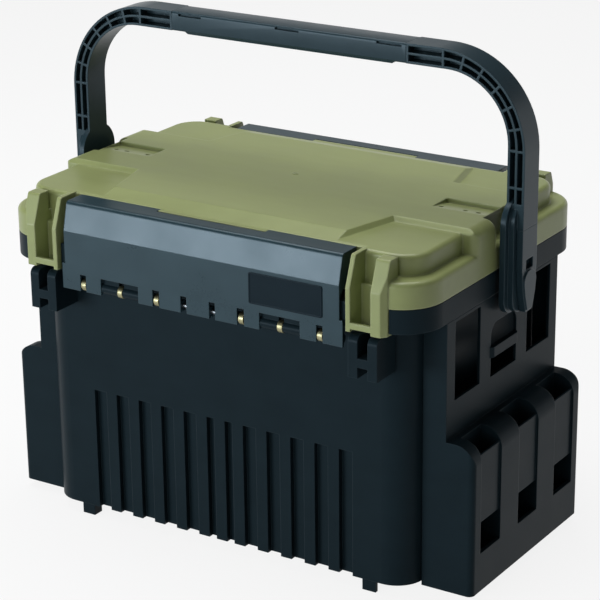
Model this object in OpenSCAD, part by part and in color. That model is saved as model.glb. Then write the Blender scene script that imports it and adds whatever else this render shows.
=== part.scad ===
// Fishing tackle box with end tool pockets, a lid that two latch flaps hold, and a bail handle.
// Millimetres. The origin is on the ground under the middle of the tub.
// +X runs along the box to its right end, +Y to the rear and +Z up.

/* [Tub] */
// Outer length of the tub's walls
tub_l = 430; // [410:5:480]
// Outer depth of the tub's walls
tub_d = 276; // [250:2:310]
// Radius of the tub's upright corners
tub_r = 30; // [20:1:36]
// Thickness of the moulded walls
wall = 3; // [2.4:0.2:3.4]
// Thickness of the tub's floor
floor_t = 3.5; // [2.5:0.5:6]
// Height of the rim's top above the ground
rim_z = 306; // [290:1:330]
// Height of the rim band
rim_h = 23.5; // [20:0.5:24]
// How far the rim stands out past the tub at each end
rim_out_x = 25; // [24:1:30]
// How far the rim stands out past the tub at front and rear
rim_out_y = 27; // [25:1:29]
// Radius of the rim's corners
rim_r = 43; // [38:1:48]
// Fillet along the rim's lower edge and the lid's ledge
rim_edge = 5; // [2:0.5:6]

/* [Flutes] */
// Height where the flutes end at the top
flute_top = 144; // [100:1:200]
// Depth of a flute
flute_deep = 6; // [3.5:0.5:9]
// Width of a wide flute
flute_w = 15; // [10:0.5:18]
// Spacing of the wide flutes
flute_pitch = 27.5; // [22:0.5:29]
// Distance of the first wide flute from the middle
flute_first = 35.3; // [30:0.1:40]
// Wide flutes on each side of the middle
flute_n = 5; // [1:1:5]
// Width of the two narrow flutes
thin_flute_w = 8.7; // [6:0.1:10]
// Distance of a narrow flute from the middle
thin_flute_x = 10.7; // [8:0.1:14]

/* [Feet and brackets] */
// Height of the feet
foot_h = 13; // [9:1:20]
// Width of a foot
foot_w = 15; // [10:1:20]
// Distance of a foot's middle from the tub's end
foot_in = 45.5; // [40:0.5:95]
// Thickness of the feet's plates
foot_t = 4; // [3:0.5:5]
// Distance of a bracket's middle from the tub's end
bracket_in = 30.5; // [29:0.5:33]
// Width of a corner bracket
bracket_w = 31; // [24:1:33]
// Width of a bracket's post
post_w = 10; // [6:0.5:10]
// Gap between a bracket's top and the rim
bracket_gap = 5.5; // [1.5:0.5:12]
// Height of a corner bracket
bracket_h = 41; // [36:1:41]
// How far the brackets stand out past the rim
bracket_out = 7; // [5:0.5:8]

/* [End pockets] */
// How far an end frame's sides stand in from the tub's walls
end_in = 25; // [23:0.5:30]
// How far the pockets stand out of the end wall
pocket_t = 30; // [26:1:36]
// Height of the pockets' top above the ground
pocket_top = 164; // [150:1:180]
// Height of the pockets' lower edge above the ground
pocket_low = 9; // [4:1:9]
// Radius of the pockets' upper outer edge
pocket_r = 20; // [12:1:22]
// Width of a tool slot
slot_w = 40; // [30:1:50]
// Distance of the outer slots from an end frame's sides
pocket_side = 16; // [12:0.5:24]
// Distance of a slot's inner side from the end wall
slot_in = 7; // [4:0.5:8]
// How far the outer panel is cut down where a slot opens
lip_drop = 13; // [12:0.5:24]
// Depth of the recess in a pocket's outer panel
panel_in = 2; // [1:0.5:2.5]
// Lower edge of a pocket window
window_z = 49.4; // [30:0.2:60]
// Height of a pocket window
window_h = 31.2; // [20:0.2:50]

/* [End wall openings] */
// Width of a tall knife slot
knife_w = 49; // [40:1:50]
// Height of a tall knife slot
knife_h = 78; // [60:1:80]
// Gap between the tall slots and the rim
knife_gap = 3.5; // [1.5:0.5:14]
// Width of the two middle holes
hole_w = 52; // [40:1:54]
// Gap between the upper middle hole and the rim
hole_gap = 28.5; // [25:0.5:36]
// Height of the lower middle hole
low_hole_h = 20; // [14:1:24]
// Height of the strap between the middle holes
strap_h = 10.5; // [8:0.5:12]
// Height of the upper middle hole
top_hole_h = 23.5; // [18:0.5:24]

/* [Lid] */
// Height of the lid's flat top above its lower edge
lid_h = 49.5; // [46:0.5:56]
// Height of the ledge round the lid above its lower edge
ledge_h = 25; // [20:0.5:28]
// Inset of the lid's raised block at its ends
block_in_x = 14.5; // [10:0.5:16]
// Inset of the lid's raised block at front and rear
block_in_y = 22; // [18:0.5:24]
// Radius of the raised block's corners
block_r = 28; // [20:1:34]
// Height of the slope between the flat top and the corner pads
pad_drop = 4.5; // [2:0.5:6]
// Length of the corner pads at the shallow bevel, from the end of the lid
pad_in = 101.5; // [90:0.5:110]
// Angle by which a pad's inner side runs outwards towards the handle
pad_skew = 14; // [0:1:20]
// Half depth of the flat band between the corner pads
band_half = 65; // [60:1:68]
// Fillet along the outer edge of the corner pads
pad_edge = 5; // [2:0.5:6]
// Run of the shallow bevel at the front and rear of the top
bevel_run = 22; // [14:1:26]
// Drop of the shallow bevel
bevel_drop = 5.6; // [3:0.2:8]
// Half length of the tongue that reaches into the flaps
tongue_half = 62; // [40:1:64]
// How far the tongue stands out
tongue_out = 7.5; // [4:0.5:8]
// Gap between the two end blocks of one end
end_block_gap = 53; // [50:1:60]
// Fillet along the upper outer edge of the end blocks
end_block_edge = 12; // [5:0.5:12.5]
// Radius of the end blocks' upright corners away from the handle
end_block_r = 8; // [4:0.5:12]
// Length of the sloped field at each end of the top
recess_l = 58.5; // [50:0.5:64]
// Width of the sloped field
recess_w = 31; // [24:1:36]
// Depth of the sloped field at its rear side
recess_deep = 4.5; // [2:0.5:5]
// Distance of the sloped field from the lid's end
recess_in = 15; // [13:0.5:20]
// Offset of the sloped field's middle behind the centre line
recess_y = 3; // [0:0.5:6]
// Gap between the lid and the rim
lid_gap = 0.5; // [0.4:0.1:1]

/* [Lid legs] */
// Distance of a leg's inner side from the end of the lid
leg_in = 74; // [73:0.5:75]
// Overall width of a leg's front
leg_w = 36.5; // [34:0.5:38]
// How far the legs stand out past the rim
leg_out = 6; // [4.5:0.5:6.5]
// Distance of a leg's back plate from its front
leg_deep = 21; // [16:0.5:22]
// Width of a leg's inner rib
rib_in_w = 4.7; // [3:0.1:5]
// Width of a leg's outer rib at its front
rib_out_w = 10; // [6:0.5:11]
// How much an outer rib widens towards its foot
rib_flare = 4.5; // [1:0.5:5]
// How far a leg reaches down past the rim
leg_below = 2.5; // [0:0.5:3]
// Height of the bar that ties a leg's ribs
leg_bar_h = 6; // [4:0.5:8]
// Height of a leg's back plate above the lid's lower edge
leg_back_h = 14.5; // [7.5:0.5:17.5]
// Height above the lid's lower edge where a leg starts to lean back
leg_lean_h = 15.5; // [9:0.5:21]
// How far a leg leans back
leg_lean = 10.4; // [6:0.2:12]

/* [Flaps] */
// Distance between a flap's end and a leg
flap_in = 8; // [7:0.5:12]
// How far the flaps stand out past the rim
flap_out = 3.9; // [3.3:0.1:4.5]
// Thickness of a flap
flap_t = 2.5; // [2:0.1:2.6]
// How far a flap reaches down past its hinge axis
flap_below = 5.8; // [5.4:0.1:8]
// Height above the lid's lower edge where a flap starts to lean back
flap_lean_h = 15.2; // [9:0.1:21]
// How far a flap leans back
flap_lean = 6.4; // [3:0.2:8]
// Fillet between a flap's lean and its top
flap_edge = 4; // [2:0.5:5]
// Height of a flap's windows
flap_window_h = 17; // [15:0.5:19]
// How far a flap's ears stand out at each end
ear_out = 3.5; // [1:0.5:4]
// Height of a flap's ears
ear_h = 26; // [20:1:30]
// How far the hinge axis lies below the rim
hinge_drop = 14.5; // [14:0.1:15]
// How far the hinge axis lies inside the rim's face
hinge_in = 2; // [1.8:0.1:2.2]
// Diameter of the hinge barrels
barrel_d = 11; // [10:0.5:11.4]
// Diameter of the hinge pins
pin_d = 5; // [4:0.5:6]
// Length of the brass bushes
bush_l = 5.6; // [4:0.1:5.8]
// Diameter of the brass bushes
bush_d = 12.4; // [10:0.1:12.6]
// Length of the name plate
plate_l = 81; // [40:1:86]
// Thickness of the name plate
plate_t = 0.8; // [0.5:0.1:1]
// Height of the name plate
plate_h = 31; // [15:1:32]
// Distance of the name plate's middle from the flap's end
plate_in = 58.5; // [53:0.5:78]

/* [Handle] */
// Gap between the end walls and the handle's legs
handle_gap = 4.5; // [3:0.1:6]
// Height of the raised handle above the lid
handle_rise = 154.5; // [144:0.5:174]
// Offset of the handle's plane behind the centre line
handle_y = 6; // [4:0.5:7]
// Depth of the handle's bar
handle_d = 29.5; // [24:0.5:32]
// Height of the handle's grip bar
bar_h = 19.5; // [16:0.5:21]
// Outer radius of the handle's corners
handle_r = 92; // [85:1:105]
// Inner radius of the handle's corners
handle_in_r = 66; // [60:1:70]
// Width of the handle's legs
shank_w = 18; // [17:0.1:20]
// Half length of the plain grip
grip_half = 135; // [110:1:145]
// Wall of the grip shell round the bar
grip_wall = 3; // [2.5:0.1:4]
// Height of the grip's lip under the bar
lip_h = 3; // [2:0.5:5]
// Depth of the cells on each face of the bar
cell_deep = 12; // [8:0.5:12.5]
// Thickness of the cells' flanges and ribs
cell_rib = 2.4; // [1.6:0.1:3]
// Height of the legs' cross rib above the cells' lower end
leg_rib = 14; // [10:1:26]
// Distance between the cells' lower end and the pivot covers
cell_gap = 25; // [20:1:40]
// How far the handle's pivot lies below the rim's top
pivot_drop = 11; // [10.5:0.5:12]
// Diameter of the pivot pins
pivot_d = 8; // [6:0.5:9]
// Thickness of each stepped pivot plate
step_t = 5.7; // [5:0.1:6]
// Half width of the wide pivot plate
plate_a = 27; // [24:1:30]
// Half width of the narrow pivot plate
plate_b = 20.5; // [18:0.5:22]
// How far the handle's legs reach down past the pivot
pivot_low = 32.8; // [30:0.2:33]
// How far the pivot covers end below the lid's top
cover_drop = 10; // [8:1:14]
// Height of the wide plate's dome above the pivot covers
dome_a = 29.5; // [24:0.5:34]
// Height of the narrow plate's dome above the pivot covers
dome_b = 26; // [16:0.5:28]
// Length of the pivot bushes inside the tub
pivot_bush_l = 15.8; // [8:0.2:16]
// Diameter of the pivot bushes and of the pins' heads
pivot_head_d = 15; // [12:0.5:15.5]

/* [Tray] */
// Length of the sliding tray
tray_l = 200; // [120:1:205]
// Height of the sliding tray
tray_h = 42; // [25:1:60]
// How far the tray's ledges lie below the rim's top
tray_drop = 56; // [36:1:91]
// Width of the tray's ledges
tray_ledge = 7; // [5:0.5:9]
// Wall of the tray and its dividers
tray_wall = 2; // [1.6:0.2:2.6]
// Dividers in the tray
divider_n = 2; // [1:1:4]

/* [Fits] */
// Gap between pieces that are fastened together
fit = 0.2; // [0.1:0.05:0.3]
// Gap beside pieces that move past each other
run_gap = 0.3; // [0.3:0.05:0.5]
// Gap beside a leg of the lid in the rim
leg_gap = 0.6; // [0.4:0.1:1]
// Radial clearance of a pin in its bore
bore_gap = 0.05; // [0.02:0.01:0.1]

/* [Hidden] */
$fn = 64;
eps = 1;                                 // overrun of a cutter past the face it cuts

charcoal = "#2c353b";
graphite = "#38444c";
olive = "#8c9467";
brass = "#bcae80";
steel = "#9aa0a4";

rim_l = tub_l + 2 * rim_out_x;
rim_d = tub_d + 2 * rim_out_y;
end_x = rim_l / 2;                       // face of the rim, the lid and the end walls
rim_low = rim_z - rim_h;
lid_z = rim_z + lid_gap;                 // the lid's lower edge
ledge_z = lid_z + ledge_h;
top_z = lid_z + lid_h;

foot_x = tub_l / 2 - foot_in;
bracket_x = tub_l / 2 - bracket_in;
bracket_z = rim_low - bracket_gap - bracket_h;
bracket_y = rim_d / 2 + bracket_out;
end_d = tub_d - 2 * end_in;
slot_pitch = end_d / 2 - pocket_side - slot_w / 2;
slot_lip = pocket_top - lip_drop;
knife_y = end_d / 2 - pocket_side - knife_w / 2;
knife_z = rim_low - knife_gap - knife_h;
hole_z = rim_low - hole_gap - top_hole_h - strap_h - low_hole_h;

pad_x = end_x - pad_in;
leg_x = end_x - leg_in;
leg_z = rim_low - leg_below;
leg_back_z = lid_z + leg_back_h;
leg_lean_z = lid_z + leg_lean_h;
hinge_z = rim_low - hinge_drop;
hinge_y = rim_d / 2 - hinge_in;
flap_y = rim_d / 2 + flap_out;
flap_z = hinge_z - flap_below;
flap_lean_z = lid_z + flap_lean_h;
flap_half = leg_x - flap_in;
nook_y = tub_d / 2 - 0.8;                // the lid's wall behind a flap
bevel_y = nook_y - bevel_run;            // where the shallow bevel starts
flap_top = top_z - bevel_drop;
leg_y = rim_d / 2 + leg_out;             // outer face of the lid's legs
leg_back = leg_y - leg_deep;             // outer face of a leg's back plate
leg_span = [leg_x, leg_x + leg_w + rib_flare];
notch_y = leg_back - wall - 2.7;         // the rim's notch leaves room for a leg's swing

// Windows along a flap's lower edge, from the middle outwards
windows = [[13, 20], [45, 53], [70, 115], [133, 140]];
bush_x = [for (i = [1:3]) (windows[i][0] + windows[i][1]) / 2];
pin_half = flap_half - 2;
hook_x = 92;                             // middle of a flap's hook
hook_l = 30;
catch_out = 2;                           // how far the lid's catch stands out
pit_x = [6.5, 33, 47];                   // the pits' places along the lid's sloped field

handle_z = top_z + handle_rise;
pivot_z = rim_z - pivot_drop;
plate_x = flap_half - plate_in;
shank_in = end_x + handle_gap;
shank_out = shank_in + shank_w;
arc_x = shank_out - handle_r;
arc_z = handle_z - handle_r;
bar_z = handle_z - bar_h;
in_x = shank_in - handle_in_r;
in_z = bar_z - handle_in_r;
step1_x = shank_in + step_t;
step2_x = step1_x + step_t;
cover_top = top_z - cover_drop;
cell_z = cover_top + cell_gap;
foot_z = pivot_z - pivot_low;            // lower end of the handle's legs
tray_z = rim_z - tray_drop;

// ---------- plain helpers ----------

// A box between pairs of X, Y and Z values
module block(x, y, z) {
    translate([x[0], y[0], z[0]])
        cube([x[1] - x[0], y[1] - y[0], z[1] - z[0]]);
}

// A flat rectangle with round corners
module round_rect(l, d, r) {
    square([l - 2 * r, d], center = true);
    square([l, d - 2 * r], center = true);
    for (sx = [-1, 1], sy = [-1, 1])
        translate([sx * (l / 2 - r), sy * (d / 2 - r)])
            circle(r);
}

// An upright slab with round corners from z0 to z1
module slab(l, d, r, z0, z1) {
    translate([0, 0, z0])
        linear_extrude(z1 - z0)
            round_rect(l, d, r);
}

// The outline of one upper edge: a w by h rectangle with one corner rounded by e
module edge_outline(w, h, e) {
    square([w - e, h]);
    square([w, h - e]);
    intersection() {
        translate([w - e, h - e])
            circle(e);
        square([w, h]);
    }
}

// A slab whose upper edge is rounded by e all the way round
module pillow(l, d, r, z0, z1, e) {
    h = z1 - z0;
    for (sx = [-1, 1], sy = [-1, 1])
        translate([sx * (l / 2 - r), sy * (d / 2 - r), z0])
            rotate_extrude()
                edge_outline(r, h, e);
    for (s = [0, 1])
        mirror([0, s, 0])
            along_x([-l / 2 + r, l / 2 - r])
                translate([0, z0])
                    edge_outline(d / 2, h, e);
    for (s = [0, 1])
        mirror([s, 0, 0])
            along_y([-d / 2 + r, d / 2 - r])
                translate([0, z0])
                    edge_outline(l / 2, h, e);
}

// Sweeps a flat Y-Z outline along X
module along_x(x) {
    translate([x[0], 0, 0])
        rotate([90, 0, 90])
            linear_extrude(x[1] - x[0])
                children();
}

// Sweeps a flat X-Z outline along Y
module along_y(y) {
    translate([0, y[1], 0])
        rotate([90, 0, 0])
            linear_extrude(y[1] - y[0])
                children();
}

// A round bar along X
module rod(d, x, y, z) {
    translate([x[0], y, z])
        rotate([0, 90, 0])
            cylinder(d = d, h = x[1] - x[0]);
}

// Repeats its children at both ends, or at front and rear
module both_ends() {
    children();
    mirror([1, 0, 0]) children();
}

module both_sides() {
    children();
    mirror([0, 1, 0]) children();
}

// ---------- tub ----------

// Middles and widths of the flutes on one side of the middle
flutes = concat([[thin_flute_x, thin_flute_w]],
    [for (i = [0:flute_n - 1]) [flute_first + i * flute_pitch, flute_w]]);

module tub_shell() {
    difference() {
        union() {
            slab(tub_l, tub_d, tub_r, foot_h, rim_z);
            slab(rim_l, rim_d, rim_r, rim_low, rim_z);
        }
        slab(tub_l - 2 * wall, tub_d - 2 * wall, tub_r - wall, foot_h + floor_t, rim_z + eps);
        difference() {
            slab(rim_l - 2 * wall, rim_d - 2 * wall, rim_r - wall, rim_low - eps, rim_z - wall);
            slab(tub_l, tub_d, tub_r, 0, rim_z);
        }
    }
}

// Rear half of what stands on the tub's long walls: flute backs, tray ledge and hinge knuckles
module tub_long_side() {
    in_y = tub_d / 2 - wall;
    both_ends()
        for (f = flutes)
            block([f[0] - f[1] / 2 - wall, f[0] + f[1] / 2 + wall],
                [in_y - flute_deep, in_y + wall / 2], [foot_h + floor_t / 2, flute_top + wall]);
    block([-tub_l / 2 + tub_r, tub_l / 2 - tub_r], [in_y - tray_ledge, in_y + wall / 2],
        [tray_z - 4, tray_z]);
    intersection() {
        slab(rim_l, rim_d, rim_r, rim_low, rim_z);
        both_ends()
            block([leg_span[0] - leg_gap - wall, leg_span[1] + leg_gap + wall],
                [min(notch_y - wall, in_y + wall / 2), rim_d], [rim_low, rim_z]);
    }
    both_ends()
        for (k = knuckles()) {
            rod(barrel_d, k, hinge_y, hinge_z);
            block(k, [rim_d / 2 - 5, rim_d / 2], [hinge_z, rim_low + wall]);
        }
}

// The two knuckles in the wide window, on each side of its bush
function knuckles() =
    let (w = windows[2], b = bush_l / 2 + run_gap)
    [[w[0] + run_gap, bush_x[1] - b], [bush_x[1] + b, w[1] - run_gap]];

module tub() {
    color(charcoal)
        difference() {
            union() {
                tub_shell();
                both_sides() tub_long_side();
            }
            both_sides() both_ends() {
                for (f = flutes)
                    block([f[0] - f[1] / 2, f[0] + f[1] / 2],
                        [tub_d / 2 - flute_deep, tub_d / 2 + eps], [foot_h - eps, flute_top]);
                rim_notch();
            }
            both_sides()
                rod(pin_d + 2 * bore_gap, [-flap_half, flap_half], hinge_y, hinge_z);
            both_ends()
                rod(pivot_d + 2 * bore_gap, [end_x - 2 * wall, end_x + eps], handle_y, pivot_z);
        }
}

// The rim is open where a leg of the lid reaches down past it
module rim_notch() {
    block([leg_span[0] - leg_gap, leg_span[1] + leg_gap], [notch_y, rim_d],
        [rim_low - eps, rim_z + eps]);
}

module feet() {
    color(charcoal)
        both_sides() both_ends()
            translate([foot_x, tub_d / 2 - wall, 0]) {
                block([-foot_w / 2, foot_w / 2], [-foot_t, 0], [0, foot_h]);
                block([-foot_w / 2, -foot_w / 2 + foot_t], [-3 * foot_t, 0], [0, foot_h]);
            }
}

// ---------- corner brackets ----------

module corner_brackets() {
    edge = 6.5;
    wall_y = tub_d / 2 + fit;
    z1 = bracket_z + bracket_h;
    web_z = bracket_z + 11;
    both_ends()
        difference() {
            along_x([bracket_x - bracket_w / 2, bracket_x + bracket_w / 2]) {
                translate([wall_y, bracket_z])
                    square([bracket_y - wall_y - edge, bracket_h]);
                translate([wall_y, bracket_z])
                    square([bracket_y - wall_y, bracket_h - edge]);
                translate([bracket_y - edge, z1 - edge])
                    circle(edge);
            }
            block([bracket_x - bracket_w / 2 + post_w, bracket_x + bracket_w / 2 - post_w],
                [wall_y + wall, bracket_y + eps], [web_z + 9, z1 + eps]);
            block([bracket_x - bracket_w / 2 + post_w, bracket_x + bracket_w / 2 - post_w],
                [wall_y + wall, bracket_y + eps], [bracket_z - eps, web_z]);
        }
}

module corner_brackets_front() {
    color(charcoal) mirror([0, 1, 0]) corner_brackets();
}

module corner_brackets_rear() {
    color(charcoal) corner_brackets();
}

// ---------- end frames ----------

module pocket_outline() {
    x0 = tub_l / 2 + fit;
    x1 = end_x + pocket_t;
    translate([x0, pocket_low])
        square([x1 - x0 - pocket_r, pocket_top - pocket_low]);
    translate([x0, pocket_low])
        square([x1 - x0, pocket_top - pocket_low - pocket_r]);
    translate([x1 - pocket_r, pocket_top - pocket_r])
        circle(pocket_r);
    translate([x0, pocket_low])
        square([end_x - x0, rim_low - fit - pocket_low]);
}

module end_frame() {
    x1 = end_x + pocket_t;
    back = tub_l / 2;
    difference() {
        intersection() {
            along_y([-end_d / 2, end_d / 2]) pocket_outline();
            slab(2 * x1, end_d, 6, 0, rim_z);
        }
        block([back - eps, end_x - wall], [-end_d / 2 + wall, end_d / 2 - wall],
            [pocket_low + wall, rim_z]);
        for (i = [-1:1])
            translate([0, i * slot_pitch, 0]) {
                block([end_x + slot_in, x1 - wall - 1], [-slot_w / 2, slot_w / 2],
                    [pocket_low + wall, rim_z]);
                block([end_x + slot_in, x1 + eps], [-slot_w / 2, slot_w / 2],
                    [slot_lip, pocket_top + eps]);
                block([end_x + slot_in, x1 + eps], [-slot_w / 2, slot_w / 2],
                    [window_z, window_z + window_h]);
                block([x1 - panel_in, x1 + eps], [-slot_w / 2, slot_w / 2], [window_z, slot_lip + eps]);
            }
        for (s = [-1, 1])
            block([end_x - wall - eps, end_x + eps],
                [s * knife_y - knife_w / 2, s * knife_y + knife_w / 2], [knife_z, knife_z + knife_h]);
        block([end_x - wall - eps, end_x + eps], [-hole_w / 2, hole_w / 2],
            [hole_z, hole_z + low_hole_h]);
        top_hole();
    }
    strap();
}

// The upper middle hole, with its two upper corners rounded
module top_hole() {
    z0 = hole_z + low_hole_h + strap_h;
    r = 12;
    translate([end_x - wall - eps, 0, z0])
        rotate([90, 0, 90])
            linear_extrude(wall + 2 * eps) {
                translate([-hole_w / 2, 0])
                    square([hole_w, top_hole_h - r]);
                translate([-hole_w / 2 + r, 0])
                    square([hole_w - 2 * r, top_hole_h]);
                for (s = [-1, 1])
                    translate([s * (hole_w / 2 - r), top_hole_h - r])
                        circle(r);
            }
}

// The raised strap between the middle holes
module strap() {
    out = 2.5;
    z0 = hole_z + low_hole_h;
    translate([0, 0, z0])
        linear_extrude(strap_h)
            polygon([[end_x - wall / 2, -hole_w / 2 - out], [end_x, -hole_w / 2 - out],
                [end_x + out, -hole_w / 2 + out], [end_x + out, hole_w / 2 - out],
                [end_x, hole_w / 2 + out], [end_x - wall / 2, hole_w / 2 + out]]);
}

module end_frame_right() {
    color(charcoal) end_frame();
}

module end_frame_left() {
    color(charcoal) mirror([1, 0, 0]) end_frame();
}

// ---------- lid ----------

block_l = rim_l - 2 * block_in_x;
block_d = rim_d - 2 * block_in_y;

// The lid's solid outer form, before it is hollowed
module lid_form() {
    difference() {
        union() {
            pillow(rim_l, rim_d, rim_r, lid_z, ledge_z, rim_edge);
            slab(block_l, block_d, block_r, ledge_z - rim_edge - eps, top_z);
            both_ends() lid_end_blocks();
        }
        both_sides() {
            nook_cut();
            front_bevel();
            both_ends() leg_bay();
        }
        both_ends() {
            pad_cut(-1);
            pad_cut(1);
            pad_edge_cut();
            top_recess();
        }
    }
}

// Two blocks that carry the flat top out over the ledge, on each side of the handle
module lid_end_blocks() {
    low = ledge_z - rim_edge;
    x0 = end_x - 2 * block_in_x - 5;
    for (s = [0, 1])
        intersection() {
            translate([0, handle_y, low - eps])
                linear_extrude(top_z - low + eps)
                    mirror([0, s])
                        translate([x0, end_block_gap / 2])
                            edge_outline(end_x - x0, band_half - end_block_gap / 2, end_block_r);
            along_y([-rim_d, rim_d])
                translate([0, low - 2 * eps])
                    edge_outline(end_x, top_z - low + 2 * eps, end_block_edge);
        }
}

// Rounds the outer edge of the right end's pads
module pad_edge_cut() {
    pad_z = top_z - pad_drop;
    difference() {
        for (s = [0, 1])
            translate([0, handle_y, 0])
                mirror([0, s, 0])
                    block([leg_x, rim_l], [band_half, rim_d], [pad_z - pad_edge, pad_z + eps]);
        pillow(block_l, block_d, block_r, lid_z, pad_z, pad_edge);
    }
}

// The nook that a flap folds into, from leg to leg, less the tongue in its middle
module nook_cut() {
    difference() {
        block([-leg_x, leg_x], [nook_y, rim_d], [lid_z - eps, top_z + eps]);
        block([-tongue_half, tongue_half], [0, nook_y + tongue_out], [0, top_z + 2 * eps]);
    }
}

// The shallow bevel that leads from the flat top down to a flap
module front_bevel() {
    y1 = nook_y + block_in_y;
    slope = bevel_drop / bevel_run;
    along_x([-leg_x, leg_x])
        polygon([[bevel_y, top_z], [nook_y, top_z - bevel_drop], [y1, top_z - bevel_drop],
            [y1, top_z + eps], [bevel_y - eps / slope, top_z + eps]]);
}

// Takes the right end's corner down to a pad, with a slope along its two inner sides
module pad_cut(s) {
    pad_z = top_z - pad_drop;
    intersection() {
        translate([pad_x, s * bevel_y, 0])
            rotate([0, 0, s * pad_skew])
                along_y([-rim_d, rim_d])
                    polygon([[0, pad_z], [rim_l, pad_z], [rim_l, top_z + eps],
                        [-pad_drop - eps, top_z + eps]]);
        along_x([0, rim_l])
            polygon([[handle_y + s * band_half, pad_z], [s * rim_d, pad_z], [s * rim_d, top_z + eps],
                [handle_y + s * (band_half - pad_drop - eps), top_z + eps]]);
    }
}

// The sloped field in the flat top, deepest at its rear side, with its small pits
module top_recess() {
    x0 = end_x - recess_in - recess_l;
    y = [recess_y - recess_w / 2, recess_y + recess_w / 2];
    along_x([x0, x0 + recess_l])
        polygon([[y[0], top_z], [y[1], top_z - recess_deep], [y[1], top_z + eps], [y[0], top_z + eps]]);
    for (x = pit_x)
        translate([x0 + x, y[0] + 7, top_z - recess_deep])
            cylinder(d = 5, h = recess_deep + eps);
}

// The hollow under the lid
module lid_hollow() {
    roof = top_z - pad_drop - wall;
    difference() {
        union() {
            slab(rim_l - 2 * wall, rim_d - 2 * wall, rim_r - wall, lid_z - eps, ledge_z - wall);
            slab(block_l - 2 * wall, block_d - 2 * wall, block_r - wall, lid_z - eps, roof);
        }
        both_sides() both_ends() {
            block([leg_x - wall, leg_span[1]], [leg_back - wall, rim_d], [0, top_z]);
            block([leg_x - wall, leg_span[1]], [block_d / 2 - wall, rim_d], [leg_back_z - wall, top_z]);
        }
        both_sides()
            difference() {
                block([-leg_x - wall, leg_x + wall], [nook_y - wall, rim_d], [0, top_z + eps]);
                block([-tongue_half + wall, tongue_half - wall], [0, nook_y + tongue_out - wall],
                    [0, roof - wall]);
            }
    }
}

// The outline in plan of a leg's outer rib, which widens towards the rim's face
module outer_rib_plan() {
    x = leg_x + leg_w;
    polygon([[x - rib_out_w, leg_back - wall], [leg_span[1], leg_back - wall],
        [leg_span[1], rim_d / 2], [x, leg_y], [x - rib_out_w, leg_y]]);
}

// The side view of a leg: upright front, then a lean and a level top back to the lid's block
module leg_side() {
    pad_z = top_z - pad_drop;
    polygon([[leg_back - wall, leg_z], [leg_y, leg_z], [leg_y, leg_lean_z],
        [leg_y - leg_lean, pad_z - 1.5], [leg_y - leg_lean - 1.5, pad_z], [block_d / 2 - wall, pad_z],
        [block_d / 2 - wall, leg_back_z - wall], [leg_back - wall, leg_back_z - wall]]);
}

// One leg of the lid, at the right end of the rear side
module lid_leg() {
    along_x([leg_x, leg_x + rib_in_w]) leg_side();
    intersection() {
        along_x(leg_span) leg_side();
        linear_extrude(top_z) outer_rib_plan();
    }
    block(leg_span, [leg_back - wall, leg_back], [leg_z, leg_back_z]);
    block(leg_span, [block_d / 2 - wall, leg_back], [leg_back_z - wall, leg_back_z]);
    block([leg_x, leg_x + leg_w], [leg_y - wall, leg_y], [leg_z + 3, leg_z + 3 + leg_bar_h]);
}

// The bay between a leg's ribs, open to the front
module leg_bay() {
    x = [leg_x + rib_in_w, leg_x + leg_w - rib_out_w];
    block(x, [leg_back, rim_d], [lid_z - eps, leg_back_z]);
    block(x, [block_d / 2, rim_d], [leg_back_z - eps, top_z + eps]);
}

// The catch that a flap's hook snaps over
module lid_catch() {
    both_ends()
        block([hook_x - hook_l / 2, hook_x + hook_l / 2], [nook_y - wall / 2, nook_y + catch_out],
            [flap_top - 12.5, flap_top - 9.5]);
}

module lid() {
    color(olive) {
        difference() {
            lid_form();
            lid_hollow();
        }
        both_sides() {
            both_ends() lid_leg();
            lid_catch();
        }
    }
}

// ---------- flaps ----------

// The rear flap; the front one is its mirror image
module flap() {
    in_y = flap_y - flap_t;
    back_y = nook_y + run_gap;
    lean_y = flap_y - flap_lean;
    lean_a = atan(flap_lean / (flap_top - 2 - flap_lean_z));
    crease_y = lean_y - 2 * tan(lean_a) - flap_edge * (1 - sin(lean_a)) / cos(lean_a);
    crease = [for (i = [0:5]) let (a = lean_a + (90 - lean_a) * i / 5)
        [crease_y + flap_edge * cos(a), flap_top - flap_edge + flap_edge * sin(a)]];
    difference() {
        union() {
            along_x([-flap_half, flap_half])
                polygon(concat([[in_y, flap_z], [flap_y, flap_z], [flap_y, flap_lean_z]], crease,
                    [[back_y, flap_top], [back_y, flap_top - flap_t],
                    [lean_y - flap_t - 1, flap_top - flap_t], [in_y, flap_lean_z - 0.4]]));
            block([-flap_half - ear_out, flap_half + ear_out], [in_y, flap_y], [flap_z, flap_z + ear_h]);
            rod(barrel_d, [-flap_half, flap_half], hinge_y, hinge_z);
            both_ends() {
                flap_cheek();
                flap_hook();
            }
        }
        both_ends()
            for (w = windows)
                block(w, [hinge_y - barrel_d, flap_y + eps], [flap_z - eps, flap_z + flap_window_h]);
        block([-tongue_half - run_gap, tongue_half + run_gap], [0, nook_y + tongue_out + run_gap],
            [rim_z, top_z]);
        rod(pin_d + 2 * bore_gap, [-flap_half - eps, flap_half + eps], hinge_y, hinge_z);
    }
}

// The cheek that closes a flap's end
module flap_cheek() {
    along_x([flap_half - flap_t, flap_half])
        polygon([[flap_y - flap_t, lid_z + 4], [flap_y - flap_t, flap_lean_z],
            [flap_y - flap_lean - flap_t, flap_top - flap_t / 2], [nook_y + run_gap, flap_top - flap_t / 2],
            [nook_y + run_gap, flap_top - 10]]);
}

// The hook under a flap's top, drawn just clear of the lid's catch
module flap_hook() {
    y0 = nook_y + catch_out + 2 * run_gap;
    along_x([hook_x - hook_l / 2, hook_x + hook_l / 2])
        polygon([[y0 + 1.6, flap_top - flap_t / 2], [y0 + 1.6, flap_top - 5], [y0, flap_top - 7],
            [y0, flap_top - 8.6], [y0 + 4, flap_top - 12], [y0 + 4, flap_top - flap_t / 2]]);
}

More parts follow.
